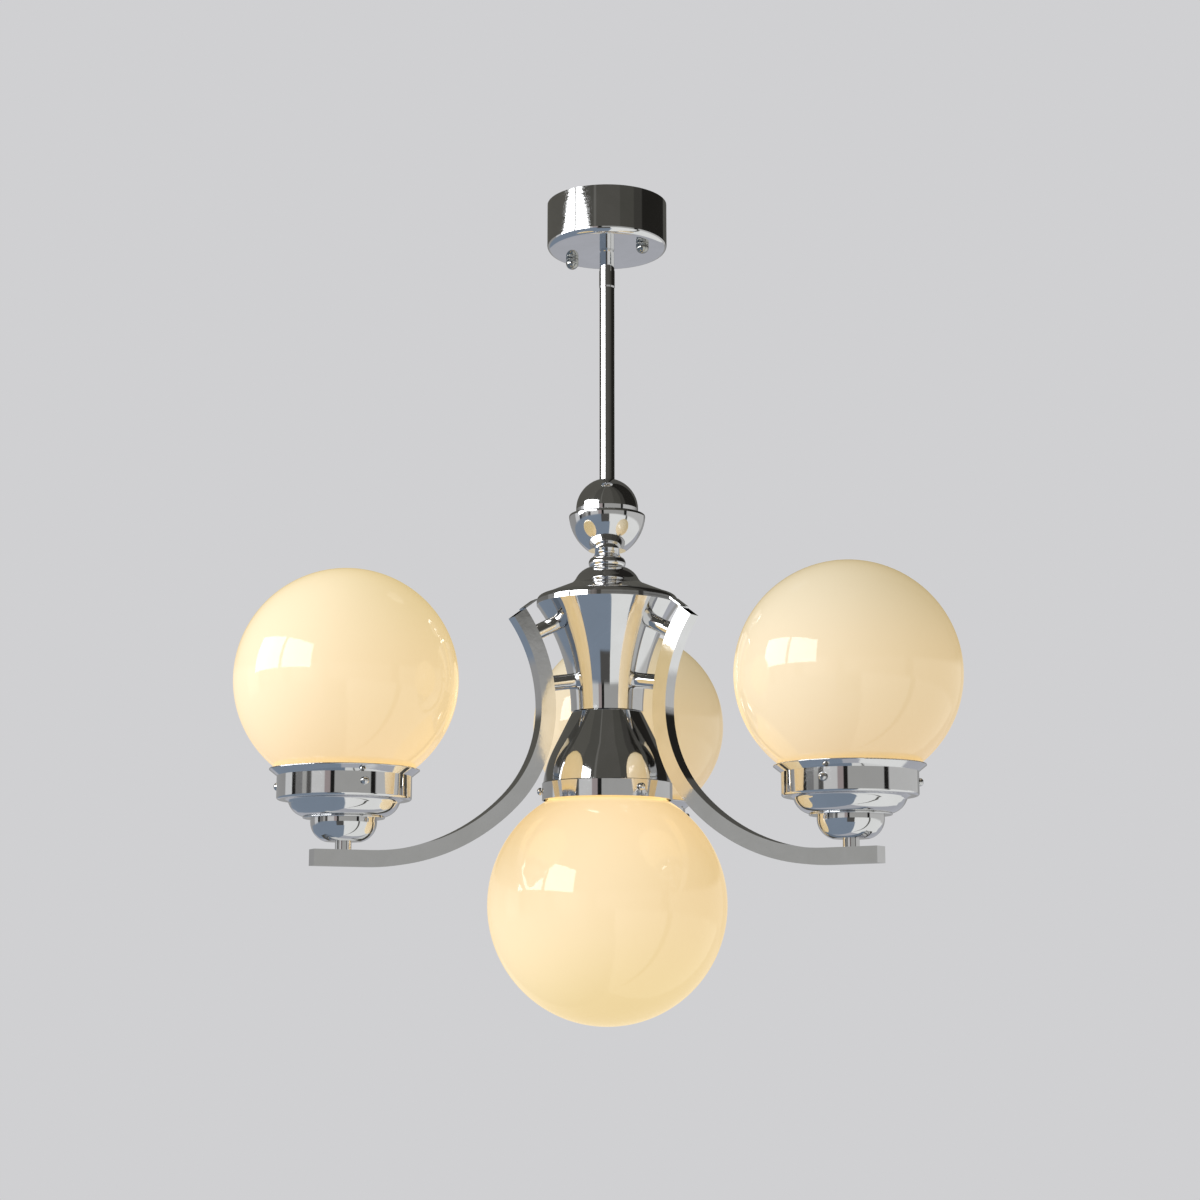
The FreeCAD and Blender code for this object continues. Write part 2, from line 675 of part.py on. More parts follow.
def arms():
    """Square tubes bent in three arcs that join smoothly, closed by a plate at each end."""
    plates = []
    for arm in ARMS:
        body = document.addObject("PartDesign::Body", arm + "_bar")
        path = draw(body, arm + "_path", [
            ("bend_x - bend_r * cos(bend_rise)", "column_base + bend_r * sin(bend_rise)"),
            ("arm_waist", "column_base", "bend_r", 1),
            ("elbow_end_x", "elbow_end_z", "elbow_r", 1),
            ("sweep_end_x", "arm_axis", "sweep_r", 1),
            ("arm_end_x", "arm_axis"),
        ], closed=False)
        section = body.newObject("Sketcher::SketchObject", arm + "_section")
        section.AttachmentSupport = [(origin_part(body, "YZ_Plane"), "")]
        section.MapMode = "FlatFace"
        section.setExpression("AttachmentOffset", bind("placement(vector(0; 0; arm_end_x); rotation(0; 0; 0))"))
        for half in ("bar_side / 2", "(bar_side / 2 - wall)"):
            add_square(section, half)
        sweep = body.newObject("PartDesign::AdditivePipe", arm + "_sweep")
        sweep.Profile = section
        sweep.Spine = (path, [])
        body.setExpression("Placement", placed("0", "0", "0", arm + "_azimuth"))
        wire_hole = rod(arm + "_wire_hole", "nipple_bore_r", "4 * wall",
                        along_post("arm_face_r - 2 * wall", "lower", arm))
        stack_hole = rod(arm + "_stack_hole", "hole_r", "4 * wall",
                         placed("reach", "0", "arm_top - 2 * wall", arm + "_azimuth"))
        keep("arm_" + arm, cut(arm + "_arm", body, group(arm + "_holes", [wire_hole, stack_hole])))
        plates.append(end_plate(arm + "_tip", placed("arm_end_x", "-bar_side / 2", "arm_axis - bar_side / 2",
                                                     arm + "_azimuth")))
        # The corner of the upper plate lies half a bar inside and beside the path's first point.
        corner_x = "bend_x - (bend_r + bar_side / 2) * cos(bend_rise)"
        corner_z = "column_base + (bend_r + bar_side / 2) * sin(bend_rise)"
        plates.append(end_plate(arm + "_head", placed(corner_x, "-bar_side / 2", corner_z,
                                                      arm + "_azimuth", "bend_rise - 90")))
    keep("arm_end_plates", group("end_plates", plates))


def end_plate(name, where):
    """Square plate on the end of an arm; its thickness runs along its own X."""
    plate = document.addObject("Part::Box", name)
    plate.setExpression("Length", bind("end_plate_t"))
    plate.setExpression("Width", bind("bar_side"))
    plate.setExpression("Height", bind("bar_side"))
    plate.setExpression("Placement", where)
    return plate


def add_square(sketch, half):
    """Square about the arm's axis, half its side wide each way."""
    first = sketch.GeometryCount
    corners = [
        ("-" + half, "arm_axis - " + half),
        (half, "arm_axis - " + half),
        (half, "arm_axis + " + half),
        ("-" + half, "arm_axis + " + half),
    ]
    spots = [Vector(value(x), value(z), 0) for x, z in corners]
    for index in range(4):
        sketch.addGeometry(Part.LineSegment(spots[index], spots[(index + 1) % 4]), False)
    for index in range(4):
        after = first + (index + 1) % 4
        sketch.addConstraint(Sketcher.Constraint("Coincident", first + index, 2, after, 1))
        pin_corner(sketch, first + index, 1, corners[index])


def posts(shell):
    """Round posts square to the bend, shaped to the column, with nipples and nuts inside it."""
    nipples = []
    nuts = []
    for post in ("upper", "lower"):
        row = []
        for arm in ARMS:
            name = "%s_post_%s" % (post, arm)
            blank = tube(name + "_blank", "post_r", "hole_r", "column_gap + wall / 2",
                         along_post("arm_face_r", post, arm))
            row.append(cut(name, blank, shell))
            length = "post_grip + 3 * wall + nut_h"
            nipples.append(tube(name + "_nipple", "nipple_r", "nipple_bore_r", length,
                                along_post("column_curve_r - post_grip", post, arm)))
            nuts.append(hex_nut(name + "_nut", "nut_flats", "nut_h", "hole_r",
                                along_post("column_curve_r + 2.2 * wall", post, arm)))
        keep(post + "_posts", group(post + "_post_set", row))
    keep("post_nipples", group("post_nipple_set", nipples))
    keep("post_nuts", group("post_nut_set", nuts))


# ---------------------------------------------------------------- lamp stacks

def at_lamp(arm, turn=None):
    """Placement on the lamp's axis at the end of an arm, turned to its own heading."""
    heading = turn or arm + "_azimuth"
    return bind("placement(vector(reach * cos(%s_azimuth); reach * sin(%s_azimuth); 0);"
                " rotation(%s; 0; 0))" % (arm, arm, heading))


def lamp_stacks():
    """Spacer, two spun cups and a gallery on a nipple at the end of each arm."""
    sets = {"holder_nipples": [], "holder_nuts": [], "cup_spacers": [], "lower_cups": [], "upper_cups": []}
    nipple_foot = "arm_top - 2 * wall"
    nipple_top = "holder_base + holder_grip - seat_gap"
    for arm in ARMS:
        at = "%s_azimuth" % arm
        sets["holder_nipples"].append(
            tube(arm + "_stack_nipple", "nipple_r", "nipple_bore_r",
                 "(%s) - (%s)" % (nipple_top, nipple_foot), placed("reach", "0", nipple_foot, at)))
        sets["holder_nuts"].append(
            hex_nut(arm + "_stack_nut", "nut_flats", "nut_h", "hole_r",
                    placed("reach", "0", "gallery_base + wall", at)))
        sets["cup_spacers"].append(
            tube(arm + "_spacer", "stem_r", "hole_r", "spacer_h", placed("reach", "0", "arm_top", at)))
        sets["lower_cups"].append(turned(arm + "_lower_cup", [
            ("hole_r", "cup_base"),
            ("lower_cup_foot_r", "cup_base"),
            ("lower_cup_r", "cup_base + lower_cup_side_h", "lower_cup_curve_r", 1),
            ("lower_cup_r", "cup_joint"),
            ("lower_cup_r - wall", "cup_joint"),
            ("lower_cup_r - wall", "cup_base + lower_cup_side_h"),
            ("lower_cup_foot_r", "cup_base + wall", "lower_cup_curve_r - wall", -1),
            ("hole_r", "cup_base + wall"),
        ], at_lamp(arm)))
        sets["upper_cups"].append(turned(arm + "_upper_cup", [
            ("hole_r", "cup_joint"),
            ("upper_cup_foot_r", "cup_joint"),
            ("upper_cup_foot_r", "cup_joint + 2 * bead_r", "1.02 * bead_r", 1),
            ("upper_cup_r", "cup_joint + upper_cup_side_h", "upper_cup_curve_r", 1),
            ("upper_cup_rim_r", "gallery_base", "cove_r", -1),
            ("upper_cup_rim_r - wall", "gallery_base"),
            ("upper_cup_r - wall", "cup_joint + upper_cup_side_h", "cove_r", 1),
            ("upper_cup_foot_r - wall", "cup_joint + 2 * bead_r", "upper_cup_curve_r - wall / 2", -1),
            ("upper_cup_foot_r - wall", "cup_joint + wall"),
            ("hole_r", "cup_joint + wall"),
        ], at_lamp(arm)))
    for label, pieces in sets.items():
        keep(label, group(label + "_set", pieces))


def galleries():
    """Gallery at each arm: an upright band whose cone-shaped lip carries the globe."""
    lip_rise = "lip_run * tan(lip_slope)"
    for arm in ARMS:
        body = turned(arm + "_gallery", [
            ("hole_r", "gallery_base"),
            ("gallery_r - gallery_edge_r", "gallery_base"),
            ("gallery_r", "gallery_base + gallery_edge_r", "gallery_edge_r", 1),
            ("gallery_r", "gallery_top + wall * tan(lip_slope) - wall / cos(lip_slope)"),
            ("gallery_inner_r + lip_run + wall * sin(lip_slope)",
             "gallery_top + %s - wall * cos(lip_slope)" % lip_rise),
            ("gallery_inner_r + lip_run", "gallery_top + " + lip_rise, "0.51 * wall", 1),
            ("gallery_inner_r", "gallery_top"),
            ("gallery_inner_r", "gallery_base + gallery_edge_r"),
            ("gallery_r - gallery_edge_r", "gallery_base + wall", "gallery_edge_r - wall", -1),
            ("hole_r", "gallery_base + wall"),
        ], at_lamp(arm, arm + "_screw_turn"))
        radial_holes(body, arm + "_screw_holes", "gallery_screw", "screw_r + thread_gap", 3)
        keep("gallery_" + arm, body)


def gallery_screws():
    """Round-headed screws, three to a gallery, whose tips stop just short of the neck."""
    dome_r = "(screw_head_r ^ 2 + screw_head_dome ^ 2) / (2 * screw_head_dome)"
    for arm in ARMS + ["bottom"]:
        wall_r = "ring_r" if arm == "bottom" else "gallery_r"
        level = "ring_screw" if arm == "bottom" else "gallery_screw"
        head = wall_r + " + screw_stand_off"
        reach_x = "0" if arm == "bottom" else "reach * cos(%s_azimuth)" % arm
        reach_y = "0" if arm == "bottom" else "reach * sin(%s_azimuth)" % arm
        for index in range(3):
            heading = "%s_screw_turn + %d" % (arm, 120 * index)
            where = bind("placement(vector(%s; %s; %s); rotation(%s; 90; 0))"
                         % (reach_x, reach_y, level, heading))
            name = "%s_screw_%d" % (arm, index + 1)
            keep("gallery_screw_%s_%d" % (arm, index + 1), turned(name, [
                ("0", "neck_r + seat_gap"),
                ("screw_r", "neck_r + seat_gap"),
                ("screw_r", head),
                ("screw_head_r", head),
                ("screw_head_r", head + " + screw_head_side"),
                ("0", head + " + screw_head_side + screw_head_dome", dome_r, 1),
            ], where))


def lampholder(name, where):
    """Lampholder: a round body with a threaded foot and a deep socket."""
    return turned(name, [
        ("hole_r", "0"),
        ("holder_foot_r", "0"),
        ("holder_r", "holder_r - holder_foot_r"),
        ("holder_r", "holder_h"),
        ("socket_r", "holder_h"),
        ("socket_r", "holder_h - socket_depth"),
        ("0", "holder_h - socket_depth"),
        ("0", "holder_grip"),
        ("hole_r", "holder_grip"),
    ], where)


def bulb(name, where):
    """Bulb with a screw cap, a drawn-in neck and a round head."""
    centre = "bulb_len - bulb_r"
    return turned(name, [
        ("0", "0"),
        ("bulb_tip_r", "0"),
        ("bulb_tip_r", "bulb_tip_h"),
        ("bulb_cap_r", "bulb_tip_h + bulb_shoulder_h"),
        ("bulb_cap_r", "bulb_cap_h"),
        ("bulb_r * cos(35)", centre + " - bulb_r * sin(35)", "bulb_waist_curve_r", -1),
        ("0", "bulb_len", "bulb_r", 1),
    ], where)


def lamps():
    """Lampholders and bulbs: three that stand on the arms and one that hangs from the bell."""
    holders = []
    socket_floor = "holder_h - socket_depth + seat_gap"
    for arm in ARMS:
        spot = "placement(vector(reach * cos({0}_azimuth); reach * sin({0}_azimuth); {1}); rotation(0; 0; 0))"
        holders.append(lampholder(arm + "_lampholder", bind(spot.format(arm, "holder_base"))))
        foot = "holder_base + " + socket_floor
        keep("bulb_" + arm, bulb(arm + "_bulb", bind(spot.format(arm, foot))))
    keep("arm_lampholders", group("lampholder_set", holders))
    hanging = "placement(vector(0; 0; %s); rotation(0; 180; 0))"
    keep("lower_lampholder", lampholder("hanging_lampholder", bind(hanging % "low_holder_top")))
    keep("bulb_bottom", bulb("hanging_bulb", bind(hanging % ("low_holder_top - (%s)" % socket_floor))))


def globes():
    """Opal globes: three standing with the neck down, each a ball and a neck that meet face to face,
    and a larger one hanging neck up."""
    for arm in ARMS:
        ball = turned(arm + "_glass_ball", [
            ("neck_inner_r", "neck_joint"),
            ("neck_r", "neck_joint"),
            ("0", "globe_z + globe_r", "globe_r", 1),
            ("0", "globe_z + globe_inner_r"),
            ("neck_inner_r", "neck_inner_joint", "globe_inner_r", -1),
        ], at_lamp(arm))
        neck = turned(arm + "_glass_neck", [
            ("neck_inner_r", "neck_foot"),
            ("neck_r", "neck_foot"),
            ("neck_r", "neck_joint"),
            ("neck_inner_r", "neck_joint"),
        ], at_lamp(arm))
        keep("globe_" + arm, group(arm + "_glass", [ball, neck]))
    keep("globe_bottom", turned("bottom_glass", [
        ("neck_inner_r", "low_bead_z + bead_lip_h"),
        ("neck_inner_r", "low_neck_inner_joint"),
        ("0", "low_globe_z - low_globe_inner_r", "low_globe_inner_r", -1),
        ("0", "low_globe_z - low_globe_r"),
        ("neck_r", "low_neck_joint", "low_globe_r", 1),
        ("neck_r", "low_bead_z"),
        ("bead_lip_r", "low_bead_z"),
        ("bead_lip_r", "low_bead_z + bead_lip_h"),
    ]))


# ---------------------------------------------------------------- build and write

mounting_plate()
stud_sets()
terminal_block()
canopy()
stem()
tie_rod()
knob()
spool()
column_shell = column()
bell()
arms()
posts(column_shell)
lamp_stacks()
galleries()
gallery_screws()
lamps()
globes()
document.recompute()

for thing in document.Objects:
    if "Invalid" in thing.State or "Error" in thing.State:
        raise RuntimeError("%s failed: %s" % (thing.Label, thing.State))

os.makedirs("parts", exist_ok=True)
for node in nodes:
    if node.Shape.isNull() or not node.Shape.isValid():
        raise RuntimeError(node.Label + " has no valid shape")
    node.Shape.exportStep("parts/%s.step" % node.Label)
    print("%-24s %2d solids %12.1f mm3" % (node.Label, len(node.Shape.Solids), node.Shape.Volume))
print(len(nodes), "nodes")
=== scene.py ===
import bpy
import bmesh
import json
import math
from mathutils import Matrix, Vector


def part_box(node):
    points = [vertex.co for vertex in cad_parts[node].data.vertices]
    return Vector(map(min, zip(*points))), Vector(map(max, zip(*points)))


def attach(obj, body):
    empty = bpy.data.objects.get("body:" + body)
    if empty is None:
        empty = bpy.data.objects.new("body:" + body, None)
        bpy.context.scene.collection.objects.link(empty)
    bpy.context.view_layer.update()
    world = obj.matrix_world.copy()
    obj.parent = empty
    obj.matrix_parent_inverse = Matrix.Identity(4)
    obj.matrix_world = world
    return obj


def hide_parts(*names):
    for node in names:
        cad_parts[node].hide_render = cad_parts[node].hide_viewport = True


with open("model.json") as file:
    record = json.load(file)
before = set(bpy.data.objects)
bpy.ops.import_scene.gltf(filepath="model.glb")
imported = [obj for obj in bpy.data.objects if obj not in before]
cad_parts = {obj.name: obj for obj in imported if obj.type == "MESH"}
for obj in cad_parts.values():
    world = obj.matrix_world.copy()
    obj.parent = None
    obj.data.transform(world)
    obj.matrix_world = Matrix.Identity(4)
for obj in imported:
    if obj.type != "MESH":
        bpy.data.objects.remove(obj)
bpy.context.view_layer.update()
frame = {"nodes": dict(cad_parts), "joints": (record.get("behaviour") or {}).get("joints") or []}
nodes = frame["nodes"]
sky = bpy.context.scene
sky.view_settings.view_transform = "Standard"

# ---------------------------------------------------------------- viewpoint
# The lamp hangs from the ceiling and is looked at from a little below its
# arms and slightly right of its front, with a long lens tilted up.
eye_from_axis = 1.84262
eye_height = -0.67488
eye_heading = math.radians(4.94)
aim_heading = math.radians(5.13)
aim_tilt = math.radians(9.92)
sensor_width = 36
picture_pixels = 1200
focal_pixels = 2193.14
lens = bpy.data.cameras.new("viewpoint")
lens.sensor_width = sensor_width
lens.lens = sensor_width * focal_pixels / picture_pixels
eye = bpy.data.objects.new("viewpoint", lens)
eye.location = (eye_from_axis * math.sin(eye_heading), -eye_from_axis * math.cos(eye_heading), eye_height)
aim = Vector((
    -math.sin(aim_heading) * math.cos(aim_tilt),
    math.cos(aim_heading) * math.cos(aim_tilt),
    math.sin(aim_tilt),
))
side = Vector((math.cos(aim_heading), math.sin(aim_heading), 0))
upward = side.cross(aim)
eye.matrix_world = Matrix((
    (side.x, upward.x, -aim.x, eye.location.x),
    (side.y, upward.y, -aim.y, eye.location.y),
    (side.z, upward.z, -aim.z, eye.location.z),
    (0, 0, 0, 1),
))
sky.collection.objects.link(eye)
sky.camera = eye

# ---------------------------------------------------------------- room
# A flat pale backdrop behind the lamp.  Polished metal sees a plain room around
# it instead: a dim ceiling, grey walls, dark furniture and a pale floor.
backdrop_grey = (0.631, 0.631, 0.645, 1)
soft_grey = (0.36, 0.36, 0.37, 1)
black_edge = (0.014, 0.014, 0.013, 1)
dark_corner = (0.085, 0.083, 0.080, 1)
ceiling_left = (0.105, 0.102, 0.090, 1)
ceiling_front = (0.085, 0.083, 0.074, 1)
ceiling_beam = (0.16, 0.157, 0.145, 1)
ceiling_centre = (0.095, 0.092, 0.082, 1)
ceiling_right = (0.075, 0.073, 0.064, 1)
ceiling_shade = (0.052, 0.050, 0.045, 1)
ceiling_dark = (0.018, 0.017, 0.015, 1)
ceiling_behind = (0.085, 0.083, 0.075, 1)
wall_left = (0.33, 0.33, 0.33, 1)
wall_pale = (0.66, 0.67, 0.68, 1)
wall_dim = (0.20, 0.20, 0.20, 1)
wall_light = (0.62, 0.62, 0.62, 1)
wall_warm = (0.36, 0.31, 0.31, 1)
wall_front = (0.39, 0.39, 0.38, 1)
wall_right = (0.55, 0.55, 0.545, 1)
floor_left = (0.22, 0.27, 0.34, 1)
floor_right = (0.86, 0.87, 0.86, 1)
floor_shade = (0.10, 0.10, 0.09, 1)
floor_behind = (0.44, 0.45, 0.49, 1)
# Places of the colour sockets on a mix node, and the heights, as sines, where
# the floor meets the furniture, the walls and the ceiling.
colour_a = 6
colour_b = 7
colour_result = 2
furniture_foot = (-0.46, -0.42)
wall_foot = (-0.16, -0.08)
ceiling_edge = (0.130, 0.200)
room = bpy.data.worlds.new("room")
sky.world = room
room.use_nodes = True
tree = room.node_tree
tree.nodes.clear()
out = tree.nodes.new("ShaderNodeOutputWorld")
rays = tree.nodes.new("ShaderNodeLightPath")
heading = tree.nodes.new("ShaderNodeTexCoord")
parts = tree.nodes.new("ShaderNodeSeparateXYZ")
tree.links.new(heading.outputs["Generated"], parts.inputs["Vector"])
flipped = tree.nodes.new("ShaderNodeMath")
flipped.operation = "MULTIPLY"
flipped.inputs[1].default_value = -1
tree.links.new(parts.outputs["Y"], flipped.inputs[0])
turn = tree.nodes.new("ShaderNodeMath")
turn.operation = "ARCTAN2"
tree.links.new(parts.outputs["X"], turn.inputs[0])
tree.links.new(flipped.outputs[0], turn.inputs[1])
round_room = tree.nodes.new("ShaderNodeMapRange")
round_room.inputs["From Min"].default_value = -math.pi
round_room.inputs["From Max"].default_value = math.pi
tree.links.new(turn.outputs[0], round_room.inputs["Value"])


def around(stretches):
    """Colours round the room: each ends at its heading, in degrees right of straight ahead."""
    half_blur = 0.6
    ramp = tree.nodes.new("ShaderNodeValToRGB")
    stops = ramp.color_ramp.elements
    stops[0].position = 0
    stops[0].color = stretches[0][1]
    stops[1].position = 1
    stops[1].color = stretches[-1][1]
    for (end, colour), (_, later_colour) in zip(stretches, stretches[1:]):
        for shift, shown in ((-half_blur, colour), (half_blur, later_colour)):
            stops.new((end + shift + 180) / 360).color = shown
    tree.links.new(round_room.outputs["Result"], ramp.inputs["Fac"])
    return ramp.outputs["Color"]


def room_blend(edge, lower, upper):
    """Colour that goes from lower to upper as the direction climbs across an edge."""
    share = tree.nodes.new("ShaderNodeMapRange")
    share.interpolation_type = "SMOOTHSTEP"
    share.inputs["From Min"].default_value = edge[0]
    share.inputs["From Max"].default_value = edge[1]
    tree.links.new(parts.outputs["Z"], share.inputs["Value"])
    mix = tree.nodes.new("ShaderNodeMix")
    mix.data_type = "RGBA"
    tree.links.new(share.outputs["Result"], mix.inputs["Factor"])
    tree.links.new(lower, mix.inputs[colour_a])
    tree.links.new(upper, mix.inputs[colour_b])
    return mix.outputs[colour_result]


ceiling = around([
    (-50, ceiling_left), (-20, ceiling_front), (-16, ceiling_beam), (30, ceiling_centre),
    (58, ceiling_right), (76, ceiling_shade), (144, ceiling_dark), (180, ceiling_behind),
])
walls = around([
    (-107, wall_left), (-88, wall_pale), (-79, black_edge), (-64, wall_dim), (-55, wall_front),
    (-46, dark_corner), (-22, wall_light), (-12, wall_warm), (-5, black_edge), (57, wall_front),
    (66, black_edge), (150, wall_right), (180, wall_left),
])
furniture = around([
    (-150, floor_behind), (-14, floor_left), (12, dark_corner), (64, floor_right),
    (70, floor_shade), (140, floor_right), (180, floor_behind),
])
ground = around([
    (-150, floor_behind), (14, floor_left), (64, floor_right), (70, floor_shade),
    (140, floor_right), (180, floor_behind),
])
low_room = room_blend(furniture_foot, ground, furniture)
seen_in_metal = room_blend(ceiling_edge, room_blend(wall_foot, low_room, walls), ceiling)
shades = []
for name, colour in (("backdrop", backdrop_grey), ("in_metal", seen_in_metal), ("soft_light", soft_grey)):
    shade = tree.nodes.new("ShaderNodeBackground")
    shade.name = name
    shade.inputs["Strength"].default_value = 1.0
    if isinstance(colour, tuple):
        shade.inputs["Color"].default_value = colour
    else:
        tree.links.new(colour, shade.inputs["Color"])
    shades.append(shade)
backdrop, in_metal, soft_light = shades
glossy_or_soft = tree.nodes.new("ShaderNodeMixShader")
tree.links.new(rays.outputs["Is Glossy Ray"], glossy_or_soft.inputs["Fac"])
tree.links.new(soft_light.outputs[0], glossy_or_soft.inputs[1])
tree.links.new(in_metal.outputs[0], glossy_or_soft.inputs[2])
direct = tree.nodes.new("ShaderNodeMath")
direct.operation = "MAXIMUM"
tree.links.new(rays.outputs["Is Camera Ray"], direct.inputs[0])
tree.links.new(rays.outputs["Is Transmission Ray"], direct.inputs[1])
seen = tree.nodes.new("ShaderNodeMixShader")
tree.links.new(direct.outputs[0], seen.inputs["Fac"])
tree.links.new(glossy_or_soft.outputs[0], seen.inputs[1])
tree.links.new(backdrop.outputs[0], seen.inputs[2])
tree.links.new(seen.outputs[0], out.inputs["Surface"])

# Far below, a pale floor that only throws light back up.
floor_depth = -1.9
floor_half = 3.2
floor_mesh = bpy.data.meshes.new("floor")
corners = [(-floor_half, -floor_half, floor_depth), (floor_half, -floor_half, floor_depth),
           (floor_half, floor_half, floor_depth), (-floor_half, floor_half, floor_depth)]
floor_mesh.from_pydata(corners, [], [(0, 1, 2, 3)])
floor = bpy.data.objects.new("floor", floor_mesh)
sky.collection.objects.link(floor)
floor_paint = bpy.data.materials.new("pale_floor")
floor_paint.use_nodes = True
paint = floor_paint.node_tree.nodes["Principled BSDF"]
paint.inputs["Base Color"].default_value = (0.60, 0.60, 0.61, 1)
paint.inputs["Roughness"].default_value = 0.8
floor_mesh.materials.append(floor_paint)
floor.visible_camera = False
floor.visible_glossy = False

# ---------------------------------------------------------------- daylight
# A wide window of two panes at the front left, which shows in the metal and on
# the glass, and a weak bounce from the right, which doesn't.
window_heading = math.radians(-58)
window_away = 2.3
window_centre = Vector((0, 0, 0.33))
pane_size = (1.32, 1.05)
pane_gap = 0.13
facing = Vector((math.sin(window_heading), -math.cos(window_heading), 0))
along_wall = Vector((facing.y, -facing.x, 0))
for name, place in (("pane_near", -1), ("pane_far", 1)):
    light = bpy.data.lights.new(name, "AREA")
    light.shape = "RECTANGLE"
    light.size = pane_size[0]
    light.size_y = pane_size[1]
    light.energy = 27
    light.color = (0.97, 0.985, 1.0)
    pane = bpy.data.objects.new(name, light)
    along = place * (pane_size[0] + pane_gap) / 2
    pane.location = window_centre + facing * window_away + along_wall * along
    pane.rotation_euler = (-facing).to_track_quat("-Z", "Y").to_euler()
    sky.collection.objects.link(pane)
bounce = bpy.data.lights.new("bounce", "AREA")
bounce.shape = "DISK"
bounce.size = 1.6
bounce.energy = 7
bounce.color = (1.0, 0.97, 0.93)
bounce_card = bpy.data.objects.new("bounce", bounce)
bounce_card.location = (2.2, -1.6, 0.4)
to_lamp = Vector((0, 0, -0.45)) - bounce_card.location
bounce_card.rotation_euler = to_lamp.to_track_quat("-Z", "Y").to_euler()
bounce_card.visible_glossy = False
sky.collection.objects.link(bounce_card)

# ---------------------------------------------------------------- ceiling mounting
# A zinc-plated round plate screwed to the ceiling, hidden in the canopy, with
# two studs, their lock nuts and a white three-pole block for the wires.


def plated_marks():
    """Group of effects on plated metal: smears, fine pits and lines left by spinning or drawing."""
    group = bpy.data.node_groups.new("plated_marks", "ShaderNodeTree")
    for name, kind in (("Smear Scale", "NodeSocketFloat"), ("Line Scale", "NodeSocketVector")):
        group.interface.new_socket(name=name, in_out="INPUT", socket_type=kind)
    for name in ("Smear", "Pits", "Lines"):
        group.interface.new_socket(name=name, in_out="OUTPUT", socket_type="NodeSocketFloat")
    inner = group.nodes
    links = group.links
    entry = inner.new("NodeGroupInput")
    exit_node = inner.new("NodeGroupOutput")
    where = inner.new("ShaderNodeTexCoord")
    smear = inner.new("ShaderNodeTexNoise")
    smear.inputs["Detail"].default_value = 6
    smear.inputs["Roughness"].default_value = 0.62
    smear.inputs["Distortion"].default_value = 0.8
    links.new(where.outputs["Object"], smear.inputs["Vector"])
    links.new(entry.outputs["Smear Scale"], smear.inputs["Scale"])
    links.new(smear.outputs["Fac"], exit_node.inputs["Smear"])
    pits = inner.new("ShaderNodeTexVoronoi")
    pits.inputs["Scale"].default_value = 620
    links.new(where.outputs["Object"], pits.inputs["Vector"])
    spots = inner.new("ShaderNodeMapRange")
    spots.inputs["From Min"].default_value = 0.10
    spots.inputs["From Max"].default_value = 0.03
    links.new(pits.outputs["Distance"], spots.inputs["Value"])
    rare = inner.new("ShaderNodeTexNoise")
    rare.inputs["Scale"].default_value = 34
    links.new(where.outputs["Object"], rare.inputs["Vector"])
    few = inner.new("ShaderNodeMapRange")
    few.inputs["From Min"].default_value = 0.58
    few.inputs["From Max"].default_value = 0.72
    links.new(rare.outputs["Fac"], few.inputs["Value"])
    both = inner.new("ShaderNodeMath")
    both.operation = "MULTIPLY"
    links.new(spots.outputs["Result"], both.inputs[0])
    links.new(few.outputs["Result"], both.inputs[1])
    links.new(both.outputs[0], exit_node.inputs["Pits"])
    stretch = inner.new("ShaderNodeVectorMath")
    stretch.operation = "MULTIPLY"
    links.new(where.outputs["Object"], stretch.inputs[0])
    links.new(entry.outputs["Line Scale"], stretch.inputs[1])
    lines = inner.new("ShaderNodeTexNoise")
    lines.inputs["Scale"].default_value = 1
    lines.inputs["Detail"].default_value = 4
    links.new(stretch.outputs[0], lines.inputs["Vector"])
    links.new(lines.outputs["Fac"], exit_node.inputs["Lines"])
    return group


marks = plated_marks()


def metal_finish(name, tone, gloss, smear_scale, line_scale, line_depth):
    """Plated or bare metal: tone is its colour, gloss its lowest and highest roughness."""
    finish = bpy.data.materials.new(name)
    finish.use_nodes = True
    steps = finish.node_tree.nodes
    links = finish.node_tree.links
    surface = steps["Principled BSDF"]
    surface.inputs["Metallic"].default_value = 1.0
    effects = steps.new("ShaderNodeGroup")
    effects.node_tree = marks
    effects.inputs["Smear Scale"].default_value = smear_scale
    effects.inputs["Line Scale"].default_value = line_scale
    tint = steps.new("ShaderNodeValToRGB")
    tint.color_ramp.elements[0].position = 0.30
    tint.color_ramp.elements[0].color = (tone[0] * 0.93, tone[1] * 0.93, tone[2] * 0.92, 1)
    tint.color_ramp.elements[1].position = 0.68
    tint.color_ramp.elements[1].color = (tone[0], tone[1], tone[2], 1)
    links.new(effects.outputs["Smear"], tint.inputs["Fac"])
    pitted = steps.new("ShaderNodeMix")
    pitted.data_type = "RGBA"
    pitted.inputs[colour_b].default_value = (tone[0] * 0.3, tone[1] * 0.27, tone[2] * 0.24, 1)
    links.new(effects.outputs["Pits"], pitted.inputs["Factor"])
    links.new(tint.outputs["Color"], pitted.inputs[colour_a])
    links.new(pitted.outputs[colour_result], surface.inputs["Base Color"])
    rough = steps.new("ShaderNodeMapRange")
    rough.inputs["From Min"].default_value = 0.35
    rough.inputs["From Max"].default_value = 0.70
    rough.inputs["To Min"].default_value = gloss[0]
    rough.inputs["To Max"].default_value = gloss[1]
    links.new(effects.outputs["Smear"], rough.inputs["Value"])
    links.new(rough.outputs["Result"], surface.inputs["Roughness"])
    relief = steps.new("ShaderNodeBump")
    relief.inputs["Strength"].default_value = 0.35
    relief.inputs["Distance"].default_value = line_depth
    links.new(effects.outputs["Lines"], relief.inputs["Height"])
    links.new(relief.outputs["Normal"], surface.inputs["Normal"])
    return finish


